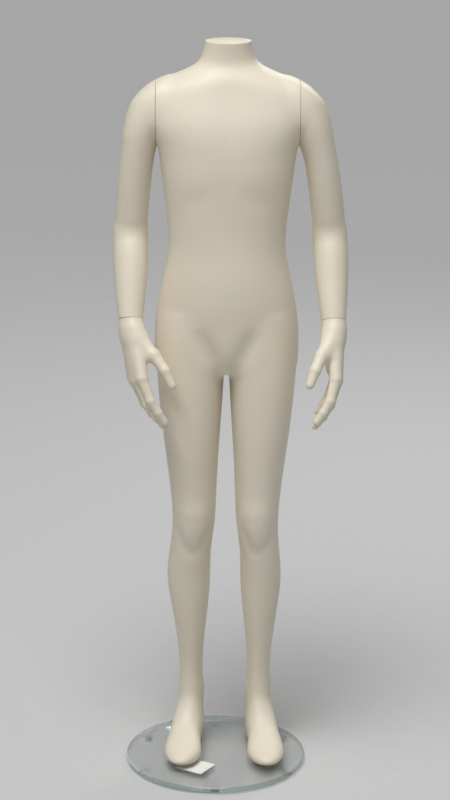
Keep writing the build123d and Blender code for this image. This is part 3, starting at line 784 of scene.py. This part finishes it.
def painted_laminate():
    """Warm off-white satin spray paint: fine orange peel, faint clouding, and painted shade that darkens the
    hollows.
    """
    material, nodes, links, shader = new_material("satin_paint")
    clouds = add_noise(nodes, links, 9.0, 4.0)
    tone = spread(nodes, links, clouds.outputs["Fac"], 0.35, 0.65, 0.0, 1.0)
    base = two_tone(nodes, links, tone, PAINT, PAINT_SHADE)
    # Painted shade: the colour darkens towards PAINT_HOLLOW_SHADE where the surface is hollow (low pointiness),
    # as if shaded
    hollow = nodes.new("ShaderNodeNewGeometry")
    hollow_shade = spread(nodes, links, hollow.outputs["Pointiness"], 0.44, 0.5, 0.35, 0.0)
    mix = nodes.new("ShaderNodeMix")
    mix.data_type = "RGBA"
    mix.inputs["B"].default_value = (*PAINT_HOLLOW_SHADE, 1)
    links.new(hollow_shade, mix.inputs["Factor"])
    links.new(base, mix.inputs["A"])
    links.new(mix.outputs["Result"], shader.inputs["Base Color"])
    sheen_map = add_noise(nodes, links, 40.0, 3.0)
    rough = spread(nodes, links, sheen_map.outputs["Fac"], 0.3, 0.7, 0.48, 0.58)
    links.new(rough, shader.inputs["Roughness"])
    peel = add_noise(nodes, links, 520.0, 2.0)
    waves = add_noise(nodes, links, 60.0, 2.0)
    first = add_bump(nodes, links, waves.outputs["Fac"], shader, 0.0006, 0.12)
    add_bump(nodes, links, peel.outputs["Fac"], shader, 0.00012, 0.35, first)
    shader.inputs["Coat Weight"].default_value = 0.12
    shader.inputs["Coat Roughness"].default_value = 0.32
    shader.inputs["Subsurface Weight"].default_value = 0.04
    shader.inputs["Subsurface Radius"].default_value = (0.003, 0.002, 0.0015)
    return material


PAINT = (0.83, 0.765, 0.625)
PAINT_SHADE = (0.81, 0.735, 0.59)
# The darker colour painted into the hollows as shade
PAINT_HOLLOW_SHADE = (0.62, 0.54, 0.41)


def glass_material():
    """Clear float glass: faint smears on its faces, and the deep green of its polished edge."""
    material, nodes, links, shader = new_material("clear_glass")
    shader.inputs["Transmission Weight"].default_value = 1.0
    shader.inputs["IOR"].default_value = 1.52
    smears = add_noise(nodes, links, 30.0, 5.0)
    rough = spread(nodes, links, smears.outputs["Fac"], 0.45, 0.75, 0.01, 0.05)
    links.new(rough, shader.inputs["Roughness"])
    facing = nodes.new("ShaderNodeNewGeometry")
    parts = nodes.new("ShaderNodeSeparateXYZ")
    links.new(facing.outputs["True Normal"], parts.inputs["Vector"])
    size = nodes.new("ShaderNodeMath")
    size.operation = "ABSOLUTE"
    links.new(parts.outputs["Z"], size.inputs[0])
    tone = spread(nodes, links, size.outputs["Value"], 0.5, 0.95, 0.0, 1.0)
    links.new(two_tone(nodes, links, tone, GLASS_EDGE, GLASS_FACE), shader.inputs["Base Color"])
    links.new(spread(nodes, links, tone, 0.0, 1.0, 0.9, 0.45), shader.inputs["Alpha"])
    return material


GLASS_FACE = (0.93, 0.97, 0.955)
GLASS_EDGE = (0.40, 0.64, 0.56)


def metal_material(name, colour, roughness, stretch):
    """Turned or drawn metal: fine lines round or along the piece."""
    material, nodes, links, shader = new_material(name)
    lines = add_noise(nodes, links, 400.0, 4.0)
    mapping = nodes.new("ShaderNodeMapping")
    mapping.inputs["Scale"].default_value = stretch
    place = nodes.new("ShaderNodeTexCoord")
    links.new(place.outputs["Object"], mapping.inputs["Vector"])
    links.new(mapping.outputs["Vector"], lines.inputs["Vector"])
    darker = tuple(c * 0.78 for c in colour)
    tone = two_tone(nodes, links, lines.outputs["Fac"], darker, colour)
    links.new(tone, shader.inputs["Base Color"])
    shader.inputs["Metallic"].default_value = 1.0
    rough = spread(nodes, links, lines.outputs["Fac"], 0.3, 0.7, roughness * 0.8, roughness * 1.25)
    links.new(rough, shader.inputs["Roughness"])
    add_bump(nodes, links, lines.outputs["Fac"], shader, 0.00005, 0.3)
    return material


def plain_material(name, colour, other, roughness, grain, depth):
    """Moulded or pressed stuff: a fine grain and two close tones."""
    material, nodes, links, shader = new_material(name)
    noise = add_noise(nodes, links, grain, 3.0)
    tone = two_tone(nodes, links, noise.outputs["Fac"], colour, other)
    links.new(tone, shader.inputs["Base Color"])
    rough = spread(nodes, links, noise.outputs["Fac"], 0.3, 0.7, roughness * 0.9, roughness * 1.1)
    links.new(rough, shader.inputs["Roughness"])
    add_bump(nodes, links, noise.outputs["Fac"], shader, depth, 0.4)
    return material


def plywood_material():
    material, nodes, links, shader = new_material("plywood")
    place = nodes.new("ShaderNodeTexCoord")
    wave = nodes.new("ShaderNodeTexWave")
    wave.inputs["Scale"].default_value = 110.0
    wave.inputs["Distortion"].default_value = 1.2
    links.new(place.outputs["Object"], wave.inputs["Vector"])
    tone = two_tone(nodes, links, wave.outputs["Fac"], (0.50, 0.33, 0.17), (0.70, 0.53, 0.33))
    links.new(tone, shader.inputs["Base Color"])
    shader.inputs["Roughness"].default_value = 0.7
    add_bump(nodes, links, wave.outputs["Fac"], shader, 0.0002, 0.5)
    return material


paint = painted_laminate()
steel = metal_material("turned_steel", (0.62, 0.62, 0.64), 0.25, (1, 1, 14))
zinc = metal_material("zinc_plate", (0.74, 0.73, 0.68), 0.32, (1, 1, 1))
alloy = metal_material("cast_alloy", (0.66, 0.67, 0.69), 0.42, (1, 1, 1))
nylon = plain_material("nylon", (0.86, 0.84, 0.78), (0.80, 0.78, 0.72), 0.42, 160.0, 0.0001)
rubber = plain_material("gasket_rubber", (0.03, 0.03, 0.03), (0.05, 0.05, 0.05), 0.75, 300.0, 0.0001)
card = plain_material("white_card", (0.88, 0.87, 0.84), (0.82, 0.81, 0.77), 0.8, 420.0, 0.0001)
plywood = plywood_material()
glass = glass_material()
bumper_clear = plain_material("clear_bumper", (0.66, 0.68, 0.67), (0.60, 0.62, 0.61), 0.3, 200.0, 0.00005)

NODE_MATERIALS = {
    "glass_base": glass, "base_bumpers": bumper_clear, "foot_spigot": steel, "spigot_gasket": rubber,
    "spigot_sleeve": nylon, "clamp_screw": zinc, "levelling_card": card, "foot_socket_tube": steel,
    "shoulder_screws": zinc,
}
FITTING_MATERIALS = {
    "shoulder_block": plywood, "shoulder_housing": alloy, "shoulder_retainer": steel, "shoulder_spring": steel,
    "shoulder_bush": nylon, "arm_block": plywood, "arm_peg": alloy, "arm_screws": zinc, "wrist_housing": alloy,
    "wrist_retainer": steel, "wrist_bush": nylon, "hand_peg": steel,
}


def dress_cad_nodes():
    """Gives every node that stays its own material."""
    chosen = dict(NODE_MATERIALS)
    for side in SIDES:
        chosen.update({f"{side}_{part}": material for part, material in FITTING_MATERIALS.items()})
    for node, material in chosen.items():
        mesh = frame["nodes"][node].data
        mesh.materials.clear()
        mesh.materials.append(material)


# ---------------------------------------------------------------- the painted shells

LIP = 0.4
BODY_STEP, ARM_STEP, HAND_STEP = 3.0, 2.4, 1.2
# Boxes that hold each shell with room to spare
BODY_BOX = ((-146, -100, 6), (146, 136, 1250))
ARM_ACROSS = (SEAM_X - 14, 212.0)
ARM_DEPTH = (-66, 92)
ARM_HEIGHT = (752, 1190)
HAND_BOX = ((-34, -40, -24), (54, 56, 188))


def build_body():
    bm = mesh_field(body_field, *BODY_BOX, BODY_STEP)
    edges = cut(bm, (0, 0, NECK_TOP - LIP), (0, 0, 1))
    close_end(bm, edges, (0, 0, 1), LIP)
    depth = SEAM_X - HALF_GAP - HOUSING_LOW.x / MM
    flange_t = PEG_HIGH.x / MM - SEAM_X - HALF_GAP
    sleeve_r = HOUSING_R - SLEEVE_STEP
    for side in SIDES.values():
        plane_x = SEAM_X - HALF_GAP
        edges = cut(bm, (side * (plane_x - LIP), 0, 0), (side, 0, 0), lambda c: c.z > SEAM_CUT_LOW)
        centre = (side * plane_x, SHOULDER_Y, SHOULDER_Z)
        steps = [(HOUSING_R, 0), (HOUSING_R, flange_t), (sleeve_r, flange_t), (sleeve_r, depth)]
        close_end(bm, edges, (side, 0, 0), LIP, centre, steps)
    tube_low, tube_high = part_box("foot_socket_tube")
    tube_r = (tube_high.x - tube_low.x) / MM / 2
    centre = ((tube_low.x + tube_high.x) / MM / 2, (tube_low.y + tube_high.y) / MM / 2, SOLE_Z)
    edges = cut(bm, (0, 0, SOLE_Z + LIP), (0, 0, -1))
    close_end(bm, edges, (0, 0, -1), LIP, centre, [(tube_r, 0), (tube_r, (tube_high.z - tube_low.z) / MM)])
    return finish_shell(bm, "painted_body", "figure", "body_shell", paint)


def build_arm(side):
    sign = SIDES[side]
    corners = zip(sorted(sign * x for x in ARM_ACROSS), ARM_DEPTH, ARM_HEIGHT)
    bm = mesh_field(arm_field(side), *corners, ARM_STEP)
    plane_x = SEAM_X + HALF_GAP
    edges = cut(bm, (sign * (plane_x + LIP), 0, 0), (-sign, 0, 0))
    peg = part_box(f"{side}_arm_peg")
    flange_t = max(abs(peg[0].x), abs(peg[1].x)) / MM - plane_x
    centre = (sign * plane_x, SHOULDER_Y, SHOULDER_Z)
    close_end(bm, edges, (-sign, 0, 0), LIP, centre, [(PEG_FLANGE_R, 0), (PEG_FLANGE_R, flange_t)])
    along = joint_axis(f"{side}_wrist_turn")
    wrist = joint_place(f"{side}_wrist_turn")
    edges = cut(bm, wrist - along * (HALF_GAP + LIP), along)
    close_end(bm, edges, along, LIP, wrist, [(WRIST_SLEEVE_R, 0), (WRIST_SLEEVE_R, WRIST_SLEEVE_L)])
    return finish_shell(bm, f"painted_{side}_arm", f"{side}_arm", f"{side}_arm_shell", paint)


def build_hand(side):
    bm = mesh_field(hand_field, *HAND_BOX, HAND_STEP)
    edges = cut(bm, (0, 0, HALF_GAP + LIP), (0, 0, -1))
    close_end(bm, edges, (0, 0, -1), LIP, (0, 0, 0), [(HAND_FLANGE_R, 0), (HAND_FLANGE_R, HAND_FLANGE_T)])
    axes = Matrix(forearm_frame(side).tolist())
    place = Matrix.Translation(vector(joint_place(f"{side}_wrist_turn"))) @ axes.to_4x4()
    turn = Matrix.Rotation(SIDES[side] * WRIST_TURN[side], 4, "Z")
    flip = Matrix.Scale(-SIDES[side], 4, (1, 0, 0))
    lean = Matrix.Shear("XY", 4, (HAND_LEAN[side], 0))
    bmesh.ops.transform(bm, matrix=place @ turn @ flip @ lean, verts=bm.verts)
    return finish_shell(bm, f"painted_{side}_hand", f"{side}_hand_piece", f"{side}_hand", paint)


dress_cad_nodes()
build_body()
for arm_side in SIDES:
    build_arm(arm_side)
    build_hand(arm_side)

# ---------------------------------------------------------------- floor, light and camera

CAMERA_AT = (-2.1, -4018.0, 1800.0)
CAMERA_PITCH = math.radians(16.1)
CAMERA_ROLL = math.radians(0.34)
LENS = 113.85
FLOOR_SIZE = 80.0  # metres, so that its far edge stays out of the picture
SKY_STRENGTH = 0.18


def build_stage():
    bpy.ops.mesh.primitive_plane_add(size=FLOOR_SIZE, location=(0, 0, 0))
    floor = bpy.context.active_object
    floor.name = "floor"
    floor.data.materials.append(
        plain_material("pale_floor", (0.62, 0.62, 0.62), (0.60, 0.60, 0.60), 0.9, 30.0, 0.0001))
    floor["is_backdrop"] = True


def place_lamp(name, data, place, target):
    lamp = bpy.data.objects.new(name, data)
    lamp.location = place
    lamp.rotation_euler = (Vector(target) - Vector(place)).to_track_quat("-Z", "Y").to_euler()
    bpy.context.scene.collection.objects.link(lamp)


def build_light():
    """A soft high key in front, a wide lamp nearer the chest, a weak one behind, and even light all round."""
    key = bpy.data.lights.new("key", "SUN")
    key.energy = 1.6
    key.angle = math.radians(36)
    place_lamp("key", key, (-0.4, -1.2, 3.9), (0, 0, 0.6))
    near = bpy.data.lights.new("near", "AREA")
    near.shape = "DISK"
    near.size = 1.4
    near.energy = 19.0
    place_lamp("near", near, (-0.35, -1.05, 2.75), (0, 0, 1.05))
    back = near.copy()
    back.energy = 16.0
    place_lamp("back", back, (0.9, 2.2, 2.3), (0, 0, 0.8))
    world = bpy.data.worlds.new("studio")
    world.use_nodes = True
    world.node_tree.nodes["Background"].inputs["Color"].default_value = (0.85, 0.85, 0.85, 1)
    world.node_tree.nodes["Background"].inputs["Strength"].default_value = SKY_STRENGTH
    bpy.context.scene.world = world
    bpy.context.scene.view_settings.view_transform = "Standard"


def build_camera():
    data = bpy.data.cameras.new("camera")
    data.lens = LENS
    data.clip_end = 30.0
    camera = bpy.data.objects.new("camera", data)
    turn = Matrix.Rotation(math.pi / 2 - CAMERA_PITCH, 4, "X") @ Matrix.Rotation(CAMERA_ROLL, 4, "Z")
    camera.matrix_world = Matrix.Translation(vector(CAMERA_AT)) @ turn
    bpy.context.scene.collection.objects.link(camera)
    bpy.context.scene.camera = camera


build_stage()
build_light()
build_camera()

sizes = {"cad": cad_bounds, "visual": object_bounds()}
{k: [list(corner) for corner in box] for k, box in sizes.items()}
